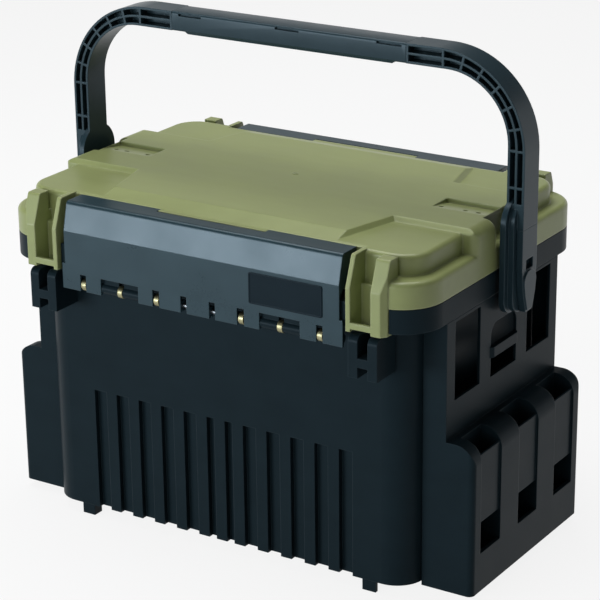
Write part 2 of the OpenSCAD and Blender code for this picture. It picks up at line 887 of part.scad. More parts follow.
module front_flap() {
    color(graphite) mirror([0, 1, 0]) flap();
}

module rear_flap() {
    color(graphite) flap();
}

module hinge_pin(s) {
    color(steel) rod(pin_d, [-pin_half, pin_half], s * hinge_y, hinge_z);
}

module hinge_bushes(s) {
    color(brass)
        both_ends()
            for (x = bush_x)
                difference() {
                    rod(bush_d, [x - bush_l / 2, x + bush_l / 2], s * hinge_y, hinge_z);
                    rod(pin_d + 2 * bore_gap, [x - bush_l, x + bush_l], s * hinge_y, hinge_z);
                }
}

module front_hinge_pin() hinge_pin(-1);
module rear_hinge_pin() hinge_pin(1);
module front_hinge_bushes() hinge_bushes(-1);
module rear_hinge_bushes() hinge_bushes(1);

module name_plate() {
    z_mid = (flap_z + flap_window_h + flap_lean_z) / 2 + 2;
    color(charcoal)
        translate([plate_x, -flap_y - plate_t - fit / 2, z_mid])
            rotate([-90, 0, 0])
                linear_extrude(plate_t)
                    round_rect(plate_l, plate_h, 2);
}

// ---------- handle ----------

// The handle's side outline: an arch of bar and legs, down to z0
module arch(z0) {
    difference() {
        arch_fill(shank_out, handle_z, handle_r, z0);
        arch_fill(shank_in, bar_z, handle_in_r, z0 - eps);
    }
}

// A filled arch with its upper corners rounded
module arch_fill(half, z1, r, z0) {
    translate([-half, z0])
        square([2 * half, z1 - r - z0]);
    translate([-half + r, z0])
        square([2 * (half - r), z1 - z0]);
    intersection() {
        for (s = [-1, 1])
            translate([s * (half - r), z1 - r])
                circle(r);
        translate([-half, z1 - r])
            square([2 * half, r]);
    }
}

// A thin arch that runs inside the bar, a share of the way from its inner to its outer side
module thin_arch(k, t) {
    function mix(a, b) = a + (b - a) * k;
    half = mix(shank_in, shank_out);
    z1 = mix(bar_z, handle_z);
    r = mix(handle_in_r, handle_r);
    difference() {
        arch_fill(half + t / 2, z1 + t / 2, r + t / 2, cell_z - eps);
        arch_fill(half - t / 2, z1 - t / 2, r - t / 2, cell_z - 2 * eps);
    }
}

// The open cells of one face: what is left between the flanges and the ribs
module cells() {
    difference() {
        arch_fill(shank_out - cell_rib, handle_z - cell_rib, handle_r - cell_rib, cell_z);
        arch_fill(shank_in + cell_rib, bar_z + cell_rib, handle_in_r + cell_rib, cell_z - eps);
        thin_arch(0.5, cell_rib);
        translate([-grip_half - cell_rib, 0])
            square([2 * (grip_half + cell_rib), 2 * handle_z]);
        cross_ribs();
    }
}

// Ribs across the bar: a fan round the corner and two on each leg
module cross_ribs() {
    mid_x = (arc_x + in_x) / 2;
    mid_z = (arc_z + in_z) / 2;
    for (s = [0, 1])
        mirror([s, 0]) {
            for (a = [0:15:90])
                translate([mid_x, mid_z])
                    rotate(a)
                        translate([handle_in_r - 6, -cell_rib / 2])
                            square([shank_w + 12, cell_rib]);
            for (z = [cell_z - cell_rib, cell_z + leg_rib])
                translate([shank_in - eps, z])
                    square([shank_w + 2 * eps, cell_rib]);
        }
}

module handle_bail() {
    grip_core = handle_d / 2 - grip_wall - fit;
    color(graphite)
        difference() {
            union() {
                difference() {
                    along_y([handle_y - handle_d / 2, handle_y + handle_d / 2]) arch(cover_top);
                    for (s = [0, 1])
                        translate([0, handle_y, 0])
                            mirror([0, s, 0])
                                along_y([handle_d / 2 - cell_deep, handle_d / 2 + eps]) cells();
                    grip_space(grip_core);
                }
                both_ends() pivot_plates();
            }
            both_ends()
                rod(pivot_d + 2 * bore_gap, [shank_in - eps, shank_out], handle_y, pivot_z);
        }
}

// What the grip shell takes out of the bar's middle, all round a slimmer core
module grip_space(core) {
    difference() {
        block([-grip_half, grip_half], [handle_y - handle_d, handle_y + handle_d],
            [bar_z - eps, handle_z + eps]);
        block([-grip_half - eps, grip_half + eps], [handle_y - core, handle_y + core],
            [bar_z + grip_wall + fit, handle_z - grip_wall - fit]);
    }
}

// The stepped plates at a leg's foot
module pivot_plates() {
    translate([0, handle_y, 0]) {
        along_x([shank_in, step1_x]) plate_outline(plate_a, cover_top + dome_a);
        along_x([step1_x - 0.5, step2_x]) plate_outline(plate_b, cover_top + dome_b);
    }
}

// A pivot plate's side view: rounded lower corners and a round dome on top
module plate_outline(half, dome_z) {
    r = 14;
    translate([0, dome_z - half])
        circle(half);
    translate([-half, foot_z + r])
        square([2 * half, dome_z - half - foot_z - r]);
    translate([-half + r, foot_z])
        square([2 * (half - r), r + eps]);
    for (s = [-1, 1])
        translate([s * (half - r), foot_z + r])
            circle(r);
}

module handle_grip() {
    core = handle_d / 2 - grip_wall;
    x = grip_half - fit;
    slot_x = [-113.3, 1.5, 116.3];
    slot_l = 27;
    slot_deep = 1.5;
    slot_z = [handle_z - 4.2, handle_z - 1.6];
    color(graphite)
        difference() {
            union() {
                block([-x, x], [handle_y - handle_d / 2, handle_y + handle_d / 2], [bar_z, handle_z]);
                along_y([handle_y - handle_d / 2 + 2, handle_y + handle_d / 2 - 2])
                    polygon([[-x + 12, bar_z + 0.5], [-x + 17, bar_z - lip_h], [x - 17, bar_z - lip_h],
                        [x - 12, bar_z + 0.5]]);
            }
            block([-grip_half - eps, grip_half + eps], [handle_y - core, handle_y + core],
                [bar_z + grip_wall, handle_z - grip_wall]);
            for (sx = slot_x)
                block([sx - slot_l / 2, sx + slot_l / 2],
                    [handle_y - handle_d, handle_y - handle_d / 2 + slot_deep], slot_z);
        }
}

// Pieces of the two pivots, from the inside out
module pivot_bushes() {
    x1 = end_x - wall - fit;
    color(charcoal)
        both_ends()
            difference() {
                rod(pivot_head_d, [x1 - pivot_bush_l, x1], handle_y, pivot_z);
                rod(pivot_d + 2 * bore_gap, [x1 - pivot_bush_l - eps, x1 + eps], handle_y, pivot_z);
            }
}

module pivot_pins() {
    color(steel)
        both_ends() {
            rod(pivot_d, [end_x - wall - fit - pivot_bush_l, step2_x + 1], handle_y, pivot_z);
            rod(pivot_head_d, [step2_x + run_gap, step2_x + run_gap + 2.8], handle_y, pivot_z);
        }
}

module pivot_covers() {
    half = handle_d / 2;
    hole_mid = pivot_z + 15;
    hole_deep = 5;
    tongue_z = pivot_z - 3;
    color(graphite)
        both_ends()
            translate([0, handle_y, 0])
                difference() {
                    union() {
                        along_x([step2_x + fit, shank_out])
                            polygon([[-6, foot_z], [6, foot_z], [half - 3, foot_z + 20], [half, foot_z + 44],
                                [half, cover_top - fit], [-half, cover_top - fit], [-half, foot_z + 44],
                                [-half + 3, foot_z + 20]]);
                        along_x([shank_out - 1, shank_out + 1.5]) {
                            polygon([[-5, foot_z + 2], [5, foot_z + 2], [10, foot_z + 18], [12, tongue_z],
                                [-12, tongue_z], [-10, foot_z + 18]]);
                            translate([0, tongue_z])
                                circle(12);
                        }
                    }
                    rod(pivot_head_d + 1, [step2_x - 1, step2_x + 3.6], 0, pivot_z);
                    block([shank_out - hole_deep, shank_out + 2], [-7, 7], [hole_mid - 5, hole_mid + 5]);
                }
}

// ---------- tray ----------

tray_half_d = tub_d / 2 - wall - run_gap;          // half depth over the tray's flange
tray_body_half = tray_half_d - tray_ledge - run_gap;
tray_mid = -tub_l / 2 + wall + 1 + tray_l / 2;
tray_low = tray_z - tray_h + 3;

module tray() {
    r = tub_r - wall + 1;
    color(graphite)
        translate([tray_mid, 0, 0])
            difference() {
                union() {
                    slab(tray_l - 6, 2 * tray_body_half, r - 4, tray_low, tray_z + 2 * run_gap);
                    slab(tray_l, 2 * tray_half_d, r, tray_z + run_gap, tray_z + 3);
                }
                slab(tray_l - 6 - 2 * tray_wall, 2 * (tray_body_half - tray_wall), r - 4 - tray_wall,
                    tray_low + tray_wall, tray_z + 3 + eps);
            }
}

module tray_dividers() {
    gap = (tray_l - 6 - 2 * tray_wall) / (divider_n + 1);
    color(graphite)
        for (i = [1:divider_n])
            translate([tray_mid - (tray_l - 6) / 2 + tray_wall + i * gap, 0, 0])
                block([-tray_wall / 2, tray_wall / 2],
                    [-tray_body_half + tray_wall + fit, tray_body_half - tray_wall - fit],
                    [tray_low + tray_wall + fit, tray_z]);
}

tub();
end_frame_left();
end_frame_right();
feet();
corner_brackets_front();
corner_brackets_rear();
lid();
front_flap();
rear_flap();
front_hinge_pin();
rear_hinge_pin();
front_hinge_bushes();
rear_hinge_bushes();
name_plate();
handle_bail();
handle_grip();
pivot_covers();
pivot_pins();
pivot_bushes();
tray();
tray_dividers();
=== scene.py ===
"""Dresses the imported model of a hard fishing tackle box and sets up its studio.

The CAD nodes stay where they are and get moulded-plastic, brass and steel finishes. Pieces that
need rounder forms than the CAD holds are modelled here and stand for their nodes. Metres, +Z up.
"""

import logging
import math
from contextlib import contextmanager
from dataclasses import dataclass
from enum import Enum
from typing import Callable, Iterator, Union

import bmesh
import bpy
from mathutils import Matrix, Vector


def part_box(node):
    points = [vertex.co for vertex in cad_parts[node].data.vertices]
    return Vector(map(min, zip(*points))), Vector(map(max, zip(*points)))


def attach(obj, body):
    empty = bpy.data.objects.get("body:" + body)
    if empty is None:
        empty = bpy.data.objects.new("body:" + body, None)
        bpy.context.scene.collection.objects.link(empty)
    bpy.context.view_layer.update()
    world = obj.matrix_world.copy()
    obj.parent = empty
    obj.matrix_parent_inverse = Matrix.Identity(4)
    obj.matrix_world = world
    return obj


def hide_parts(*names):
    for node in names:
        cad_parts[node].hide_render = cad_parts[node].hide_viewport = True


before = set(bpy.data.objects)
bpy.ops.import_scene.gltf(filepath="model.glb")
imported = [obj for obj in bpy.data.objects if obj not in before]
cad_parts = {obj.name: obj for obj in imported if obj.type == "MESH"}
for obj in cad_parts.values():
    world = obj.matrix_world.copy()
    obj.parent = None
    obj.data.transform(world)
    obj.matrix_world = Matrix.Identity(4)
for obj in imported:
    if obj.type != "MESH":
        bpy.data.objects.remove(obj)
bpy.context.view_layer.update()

LOG = logging.getLogger("tackle_box")
MM = 0.001
Colour = tuple[float, float, float]


class Body(Enum):
    """The bodies that new pieces ride on."""

    BOX = "box"
    LID = "lid_body"
    FRONT_LATCH = "front_latch"
    HANDLE = "handle"


class Slot(Enum):
    """The record's material slots, passed along with new pieces but not used."""

    BRASS = "brass"
    STEEL = "steel"
    PLATE = "plate_plastic"
    HANDLE = "handle_plastic"
    LID = "lid_plastic"


class Side(Enum):
    """A long side of the box, as the sign of its Y."""

    FRONT = -1
    REAR = 1


class Pick(Enum):
    """What a test in edit mode selects."""

    FACES = "FACE"
    EDGES = "EDGE"


# ---------- material graphs ----------


class Value:
    """One output socket of a material's graph. Arithmetic on it adds Math nodes."""

    def __init__(self, graph: "Graph", socket: bpy.types.NodeSocket) -> None:
        """Wraps a socket.

        Args:
            graph: The graph that the socket belongs to.
            socket: The output socket.
        """
        self.graph = graph
        self.socket = socket

    def math(self, operation: str, *values: "Input", clamp: bool = False) -> "Value":
        """Adds one Math node.

        Args:
            operation: The node's operation.
            values: Its inputs, in order.
            clamp: Whether the result is held between 0 and 1.

        Returns:
            The node's result.
        """
        settings = {"operation": operation, "use_clamp": clamp}
        return self.graph.node("ShaderNodeMath", settings, dict(enumerate(values)))

    def __add__(self, other: "Input") -> "Value":
        """Returns self + other."""
        return self.math("ADD", self, other)

    __radd__ = __add__

    def __sub__(self, other: "Input") -> "Value":
        """Returns self - other."""
        return self.math("SUBTRACT", self, other)

    def __rsub__(self, other: "Input") -> "Value":
        """Returns other - self."""
        return self.math("SUBTRACT", other, self)

    def __mul__(self, other: "Input") -> "Value":
        """Returns self * other."""
        return self.math("MULTIPLY", self, other)

    __rmul__ = __mul__

    def clamped(self) -> "Value":
        """Returns the value held between 0 and 1."""
        return self.math("ADD", self, 0.0, clamp=True)


Input = Union[Value, float, tuple[float, ...]]


class Graph:
    """The node graph of one material or of the world."""

    def __init__(self, owner: Union[str, bpy.types.World]) -> None:
        """Empties the owner's graph.

        Args:
            owner: A new material's name, or the world.
        """
        self.owner = bpy.data.materials.new(owner) if isinstance(owner, str) else owner
        self.owner.use_nodes = True
        self.tree = self.owner.node_tree
        self.tree.nodes.clear()

    def node(
        self,
        kind: str,
        settings: dict[str, object] | None = None,
        inputs: dict[int | str, "Input"] | None = None,
        output: int | str = 0,
    ) -> Value:
        """Adds any node.

        Args:
            kind: The node's type.
            settings: Its settings, which are set first; "stops" holds a ramp's stops.
            inputs: Values or links for its sockets.
            output: The socket that is wanted.

        Returns:
            That output socket.
        """
        made = self.tree.nodes.new(kind)
        for key, setting in (settings or {}).items():
            if key == "stops":
                self._set_stops(made.color_ramp, setting)
            else:
                setattr(made, key, setting)
        for key, value in (inputs or {}).items():
            if isinstance(value, Value):
                self.tree.links.new(value.socket, made.inputs[key])
            else:
                made.inputs[key].default_value = value
        return Value(self, made.outputs[output])

    @staticmethod
    def _set_stops(ramp: bpy.types.ColorRamp, stops: list[tuple[float, float]]) -> None:
        """Sets a ramp's grey stops.

        Args:
            ramp: The ramp.
            stops: Pairs of place and grey level.
        """
        while len(ramp.elements) < len(stops):
            ramp.elements.new(0.5)
        for element, (place, level) in zip(ramp.elements, stops):
            element.position = place
            element.color = (level, level, level, 1.0)

    def point(self, stretch: Colour = (1.0, 1.0, 1.0), centre: Colour = (0.0, 0.0, 0.0)) -> Value:
        """Reads the object's own coordinates, from a centre and stretched.

        Args:
            stretch: The scale along each axis.
            centre: The point that becomes the origin, in metres.

        Returns:
            The coordinates.
        """
        place = self.node("ShaderNodeTexCoord", output="Object")
        offset = tuple(-c * s for c, s in zip(centre, stretch))
        return self.node(
            "ShaderNodeMapping", inputs={"Vector": place, "Location": offset, "Scale": stretch}
        )

    def noise(self, size: float, detail: float = 2.0, point: Value | None = None) -> Value:
        """Adds soft noise.

        Args:
            size: The noise's grain, in metres.
            detail: How many finer layers it has.
            point: Where it is read; the object's own coordinates if left out.

        Returns:
            The noise, between 0 and 1.
        """
        inputs = {"Vector": point or self.point(), "Scale": 1.0 / size, "Detail": detail}
        return self.node("ShaderNodeTexNoise", inputs=inputs)

    def mix(self, factor: "Input", first: Value | Colour, second: Value | Colour) -> Value:
        """Blends two colours.

        Args:
            factor: 0 for the first colour, 1 for the second.
            first: A linear colour, or a socket that gives one.
            second: A linear colour, or a socket that gives one.

        Returns:
            The colour between them.
        """
        ends = [c if isinstance(c, Value) else (*c, 1.0) for c in (first, second)]
        inputs = {0: factor, 6: ends[0], 7: ends[1]}
        return self.node("ShaderNodeMix", {"data_type": "RGBA"}, inputs, output=2)

    def end(self, shader: Value) -> Union[bpy.types.Material, bpy.types.World]:
        """Ends the graph in its shader.

        Args:
            shader: The shader of the surface or of the world.

        Returns:
            The material or the world.
        """
        kind = "Material" if isinstance(self.owner, bpy.types.Material) else "World"
        made = self.tree.nodes.new(f"ShaderNodeOutput{kind}")
        self.tree.links.new(shader.socket, made.inputs["Surface"])
        return self.owner


def seen_rays(g: Graph) -> Value:
    """Tells the rays that see a surface from those that light it.

    Args:
        g: The graph that needs it.

    Returns:
        1 for a ray that the camera, a gloss or a clear material sees, and 0 for the rest.
    """
    rays = g.node("ShaderNodeLightPath", output="Is Camera Ray")
    node = rays.socket.node
    for name in ("Is Glossy Ray", "Is Transmission Ray"):
        rays = rays.math("MAXIMUM", rays, Value(g, node.outputs[name]))
    return rays


def tint(colour: Colour, factor: float) -> Colour:
    """Returns a colour times a factor, with each part at most 1."""
    return tuple(min(1.0, c * factor) for c in colour)


# ---------- finishes ----------


@dataclass(frozen=True)
class MouldedPlastic:
    """Injection-moulded plastic: an etched grain, faint flow marks, softly rounded edges and a painted
    highlight along them.
    """

    name: str
    colour: Colour
    roughness: float
    edge: float = 1.2 * MM
    # Gain and pale lift of the painted highlight along edges, which stands in for light caught on
    # rounded edges.
    edge_highlight_gain: float = 1.6
    edge_highlight_pale: float = 0.0
    gloss: float = 0.2
    sheen_tint: Colour = (0.72, 0.88, 1.0)
    grain: float = 0.55 * MM
    grain_depth: float = 0.02 * MM
    waviness: float = 0.05 * MM
    mottle: float = 0.08
    cloud_size: float = 38 * MM
    flow_size: float = 11 * MM
    flow_stretch: Colour = (0.22, 1.0, 1.0)
    speck_size: float = 1.6 * MM
    wave_size: float = 24 * MM
    edge_gain: float = 5.0
    edge_start: float = 0.12
    ior: float = 1.49

    def material(self) -> bpy.types.Material:
        """Builds the plastic's material.

        Returns:
            The material.
        """
        g = Graph(self.name)
        rounded = g.node("ShaderNodeBevel", {"samples": 6}, {"Radius": self.edge})
        true_normal = g.node("ShaderNodeNewGeometry", output="Normal")
        alike = g.node(
            "ShaderNodeVectorMath", {"operation": "DOT_PRODUCT"}, {0: rounded, 1: true_normal}, 1
        )
        # Mask of the edges that get the painted highlight: where the rounded normal leaves the true
        # one.
        edges = ((1.0 - alike) * self.edge_gain - self.edge_start).clamped()

        clouds = g.noise(self.cloud_size, 3.0)
        flow = g.noise(self.flow_size, 2.0, g.point(stretch=self.flow_stretch))
        speck = g.noise(self.speck_size, 1.0)
        shade = ((clouds * 0.6 + flow * 0.4 - 0.5) * 2.4 + (speck - 0.5) * 0.4 + 0.5).clamped()
        body = g.mix(shade, tint(self.colour, 1 - self.mottle), tint(self.colour, 1 + self.mottle))
        # Painted highlight colour along edges, standing in for the sheen of light on rounded edges,
        # blended in patchily with the flow noise.
        painted_edge_highlight = tuple(c * self.edge_highlight_gain + self.edge_highlight_pale for c in self.colour)
        base = g.mix(edges * (0.35 + flow * 0.5), body, painted_edge_highlight)
        rough = (self.roughness + (clouds - 0.5) * 0.14 + (speck - 0.5) * 0.04).clamped()

        wave = g.node(
            "ShaderNodeBump",
            inputs={
                "Strength": 1.0,
                "Distance": self.waviness,
                "Height": g.noise(self.wave_size, 1.0),
                "Normal": rounded,
            },
        )
        etched = g.node(
            "ShaderNodeTexVoronoi",
            {"feature": "SMOOTH_F1"},
            {"Vector": g.point(), "Scale": 1.0 / self.grain, "Smoothness": 0.6},
        )
        normal = g.node(
            "ShaderNodeBump",
            inputs={"Strength": 0.6, "Distance": self.grain_depth, "Height": etched, "Normal": wave},
        )
        return g.end(
            g.node(
                "ShaderNodeBsdfPrincipled",
                inputs={
                    "Base Color": base,
                    "Roughness": rough,
                    "Normal": normal,
                    "IOR": self.ior,
                    "Specular IOR Level": self.gloss,
                    "Specular Tint": (*self.sheen_tint, 1.0),
                },
            )
        )


@dataclass(frozen=True)
class TurnedMetal:
    """Turned metal with fine rings round its axis and a little tarnish."""

    name: str
    colour: Colour
    tarnish: Colour
    axis_y: float
    axis_z: float
    roughness: float = 0.26
    ring: float = 0.35 * MM
    ring_depth: float = 0.02 * MM
    spot_size: float = 2.2 * MM
    edge: float = 0.3 * MM

    def material(self) -> bpy.types.Material:
        """Builds the metal's material.

        Returns:
            The material.
        """
        g = Graph(self.name)
        centred = g.point(centre=(0.0, self.axis_y, self.axis_z))
        rings = g.node(
            "ShaderNodeTexWave",
            {"wave_type": "RINGS", "rings_direction": "X"},
            {"Vector": centred, "Scale": 0.3 / self.ring, "Distortion": 0.6, "Detail": 1.0},
            1,
        )
        spots = g.noise(self.spot_size, 3.0)
        dull = ((spots - 0.45) * 2.4).clamped()
        rounded = g.node("ShaderNodeBevel", {"samples": 4}, {"Radius": self.edge})
        normal = g.node(
            "ShaderNodeBump",
            inputs={"Strength": 0.5, "Distance": self.ring_depth, "Height": rings, "Normal": rounded},
        )
        return g.end(
            g.node(
                "ShaderNodeBsdfPrincipled",
                inputs={
                    "Base Color": g.mix(dull, self.colour, self.tarnish),
                    "Roughness": (self.roughness + dull * 0.18 + rings * 0.05).clamped(),
                    "Metallic": 1.0,
                    "Normal": normal,
                },
            )
        )


@dataclass(frozen=True)
class StudioPaper:
    """Pale paper that the camera sees almost white, with the box's shadow still on it."""

    name: str = "studio_paper"
    colour: Colour = (0.8, 0.8, 0.8)
    whiteness: float = 0.86
    fibre_size: float = 3 * MM

    def material(self) -> bpy.types.Material:
        """Builds the paper's material.

        Returns:
            The material.
        """
        g = Graph(self.name)
        fibres = g.noise(self.fibre_size, 3.0)
        base = g.mix(fibres, tint(self.colour, 0.99), tint(self.colour, 1.01))
        paper = g.node("ShaderNodeBsdfDiffuse", inputs={"Color": base, "Roughness": 0.9})
        glow = g.node("ShaderNodeEmission", inputs={"Color": (1.0, 1.0, 1.0, 1.0), "Strength": 1.0})
        white = seen_rays(g) * self.whiteness
        return g.end(g.node("ShaderNodeMixShader", inputs={0: white, 1: paper, 2: glow}))


CHARCOAL = MouldedPlastic(
    "charcoal_plastic", (0.0075, 0.0150, 0.0195), 0.38, edge_highlight_gain=2.6, edge_highlight_pale=0.016, gloss=0.06
)
GRAPHITE = MouldedPlastic(
    "graphite_plastic", (0.0150, 0.0345, 0.0440), 0.30, edge_highlight_gain=1.8, edge_highlight_pale=0.012, gloss=0.38
)
SATIN = MouldedPlastic(
    "handle_plastic", (0.0150, 0.0310, 0.0400), 0.32, edge_highlight_gain=2.2, edge_highlight_pale=0.015, gloss=0.22
)
OLIVE = MouldedPlastic(
    "olive_plastic",
    (0.236, 0.270, 0.106),
    0.37,
    edge=2.4 * MM,
    edge_highlight_gain=1.35,
    edge_highlight_pale=0.12,
    gloss=0.42,
    sheen_tint=(1.0, 1.0, 1.0),
    grain_depth=0.03 * MM,
    mottle=0.06,
)
SMOKE = MouldedPlastic("tray_plastic", (0.060, 0.070, 0.078), 0.30, edge_highlight_gain=1.6)
PLATE = MouldedPlastic(
    "plate_plastic", (0.0045, 0.0110, 0.0160), 0.34, edge=0.5 * MM, edge_highlight_gain=2.6, gloss=0.10
)


# ---------- modelling by hand ----------


def deselect() -> None:
    """Leaves edit mode and selects nothing."""
    if bpy.context.object and bpy.context.object.mode != "OBJECT":
        bpy.ops.object.mode_set(mode="OBJECT")
    bpy.ops.object.select_all(action="DESELECT")


def settle(name: str) -> bpy.types.Object:
    """Names the new primitive and moves its place into its mesh.

    Args:
        name: The piece's name.

    Returns:
        The piece.
    """
    piece = bpy.context.object
    piece.name = piece.data.name = name
    bpy.ops.object.transform_apply(location=True, rotation=True, scale=True)
    return piece


def block(name: str, low: Vector, high: Vector) -> bpy.types.Object:
    """Adds a box between two corners, as a start.

    Args:
        name: The piece's name.
        low: The lowest corner, in metres.
        high: The highest corner.

    Returns:
        The piece.
    """
    deselect()
    bpy.ops.mesh.primitive_cube_add(size=1.0, location=(low + high) / 2, scale=high - low)
    return settle(name)


def round_bar(name: str, start: Vector, length: float, radius: float, sides: int) -> bpy.types.Object:
    """Adds a round bar along +X, as a start.

    Args:
        name: The piece's name.
        start: The middle of its left end, in metres.
        length: Its length.
        radius: Its radius.
        sides: How many sides it has.

    Returns:
        The piece.
    """
    deselect()
    bpy.ops.mesh.primitive_cylinder_add(
        vertices=sides,
        radius=radius,
        depth=length,
        location=start + Vector((length / 2, 0.0, 0.0)),
        rotation=(0.0, math.pi / 2, 0.0),
    )
    return settle(name)


@contextmanager
def editing(piece: bpy.types.Object) -> Iterator[None]:
    """Opens a piece in edit mode with nothing selected, and closes it afterwards.

    Args:
        piece: The piece to shape.

    Returns:
        A context that is open while the piece is shaped.
    """
    deselect()
    piece.select_set(True)
    bpy.context.view_layer.objects.active = piece
    bpy.ops.object.mode_set(mode="EDIT")
    bpy.ops.mesh.select_all(action="DESELECT")
    yield
    bpy.ops.object.mode_set(mode="OBJECT")


def pick(piece: bpy.types.Object, what: Pick, test: Callable[[Vector, Vector], bool]) -> None:
    """Selects the faces or edges that pass a test, and nothing else.

    Args:
        piece: The piece that is open in edit mode.
        what: Faces or edges.
        test: Takes a centre, and a face's normal or an edge's direction.
    """
    bpy.ops.mesh.select_mode(type=what.value)
    bpy.ops.mesh.select_all(action="DESELECT")
    mesh = bmesh.from_edit_mesh(piece.data)
    if what is Pick.FACES:
        for face in mesh.faces:
            if test(face.calc_center_median(), face.normal):
                face.select_set(True)
    else:
        for edge in mesh.edges:
            first, last = (v.co for v in edge.verts)
            if test((first + last) / 2, (last - first).normalized()):
                edge.select_set(True)
    bmesh.update_edit_mesh(piece.data)


def modify(piece: bpy.types.Object, kind: str, **settings: object) -> None:
    """Adds a modifier and applies it.

    Args:
        piece: The piece.
        kind: The modifier's type.
        settings: The modifier's settings.
    """
    deselect()
    piece.select_set(True)
    bpy.context.view_layer.objects.active = piece
    modifier = piece.modifiers.new(kind.lower(), kind)
    for key, value in settings.items():
        setattr(modifier, key, value)
    bpy.ops.object.modifier_apply(modifier=modifier.name)


def carve(piece: bpy.types.Object, tool: bpy.types.Object, operation: str) -> None:
    """Joins or cuts a piece with another, which is used up.

    Args:
        piece: The piece that stays.
        tool: The piece that is added or taken away.
        operation: UNION or DIFFERENCE.
    """
    modify(piece, "BOOLEAN", operation=operation, solver="EXACT", object=tool)
    bpy.data.objects.remove(tool)


def copies(piece: bpy.types.Object, shifts: list[Vector]) -> bpy.types.Object:
    """Repeats a piece at other places and joins the copies, each with its own mesh.

    Args:
        piece: The modelled piece, which is moved to the first place.
        shifts: How far each copy stands from the piece, in metres.

    Returns:
        One piece that holds them all.
    """
    made = []
    for shift in shifts:
        deselect()
        piece.select_set(True)
        bpy.context.view_layer.objects.active = piece
        bpy.ops.object.duplicate(linked=False)
        copy = bpy.context.object
        copy.location = shift
        bpy.ops.object.transform_apply(location=True, rotation=False, scale=False)
        made.append(copy)
    name = piece.name
    bpy.data.objects.remove(piece)
    deselect()
    for copy in made:
        copy.select_set(True)
    bpy.context.view_layer.objects.active = made[0]
    bpy.ops.object.join()
    made[0].name = made[0].data.name = name
    return made[0]


def smooth(piece: bpy.types.Object, degrees: float = 35.0) -> None:
    """Shades a piece smooth, with its sharper edges kept.

    Args:
        piece: The piece.
        degrees: The least angle of an edge that stays sharp.
    """
    deselect()
    piece.select_set(True)
    bpy.context.view_layer.objects.active = piece
    bpy.ops.object.shade_smooth_by_angle(angle=math.radians(degrees))


def dress(node: str, material: bpy.types.Material) -> None:
    """Gives a CAD node its finish.

    Args:
        node: The node's name.
        material: The finish.
    """
    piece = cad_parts[node]
    piece.data.materials.clear()
    piece.data.materials.append(material)


def place(
    piece: bpy.types.Object,
    body: Body,
    slot: Slot,
    material: bpy.types.Material,
    *stands_for: str,
) -> bpy.types.Object:
    """Finishes a new piece and lets it ride on its body.

    Args:
        piece: The piece.
        body: The body that carries it.
        slot: The record's material slot of the piece; not used.
        material: Its finish.
        stands_for: The CAD nodes that it replaces.

    Returns:
        The piece.
    """
    piece.data.materials.clear()
    piece.data.materials.append(material)
    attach(piece, body.value)
    if stands_for:
        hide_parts(*stands_for)
    return piece


# ---------- sub-assemblies ----------


@dataclass
class Box:
    """The tub with its end frames, feet and corner brackets."""

    plastic: MouldedPlastic = CHARCOAL

    def build(self) -> list[str]:
        """Dresses the box's CAD nodes.

        Returns:
            The names of the pieces.
        """
        nodes = ["tub", "end_frame_left", "end_frame_right", "feet"]
        nodes += ["corner_brackets_front", "corner_brackets_rear", "pivot_bushes"]
        material = self.plastic.material()
        for node in nodes:
            dress(node, material)
        return nodes


@dataclass
class Lid:
    """The olive lid, with the mark that its moulding gate leaves on top."""

    plastic: MouldedPlastic = OLIVE
    gate_place: tuple[float, float] = (-4 * MM, 12 * MM)
    gate_radius: float = 3.2 * MM
    gate_height: float = 0.35 * MM
    gate_sunk: float = 0.3 * MM
    gate_rim: float = 0.4
    gate_bevel: float = 0.12 * MM

    def build(self) -> list[str]:
        """Dresses the lid and adds its gate mark.

        Returns:
            The names of the pieces.
        """
        material = self.plastic.material()
        dress("lid", material)
        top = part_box("lid")[1].z
        return ["lid", self._gate(top, material).name]

    def _gate(self, top: float, material: bpy.types.Material) -> bpy.types.Object:
        """Models the ring round the trimmed gate.

        Args:
            top: The height of the lid's flat top.
            material: The lid's finish.

        Returns:
            The gate mark.
        """
        deselect()
        x, y = self.gate_place
        bpy.ops.mesh.primitive_cylinder_add(
            vertices=40,
            radius=self.gate_radius,
            depth=self.gate_height + self.gate_sunk,
            location=(x, y, top + (self.gate_height - self.gate_sunk) / 2),
        )
        mark = settle("lid_gate_mark")
        with editing(mark):
            pick(mark, Pick.FACES, lambda centre, normal: normal.z > 0.9)
            bpy.ops.mesh.inset(thickness=self.gate_radius * self.gate_rim)
            bpy.ops.mesh.extrude_region_move(
                TRANSFORM_OT_translate={"value": (0.0, 0.0, -self.gate_height * 0.8)}
            )
            pick(mark, Pick.EDGES, lambda centre, along: centre.z > top and abs(along.z) < 0.1)
            bpy.ops.mesh.bevel(offset=self.gate_bevel, segments=2)
        smooth(mark)
        return place(mark, Body.LID, Slot.LID, material)


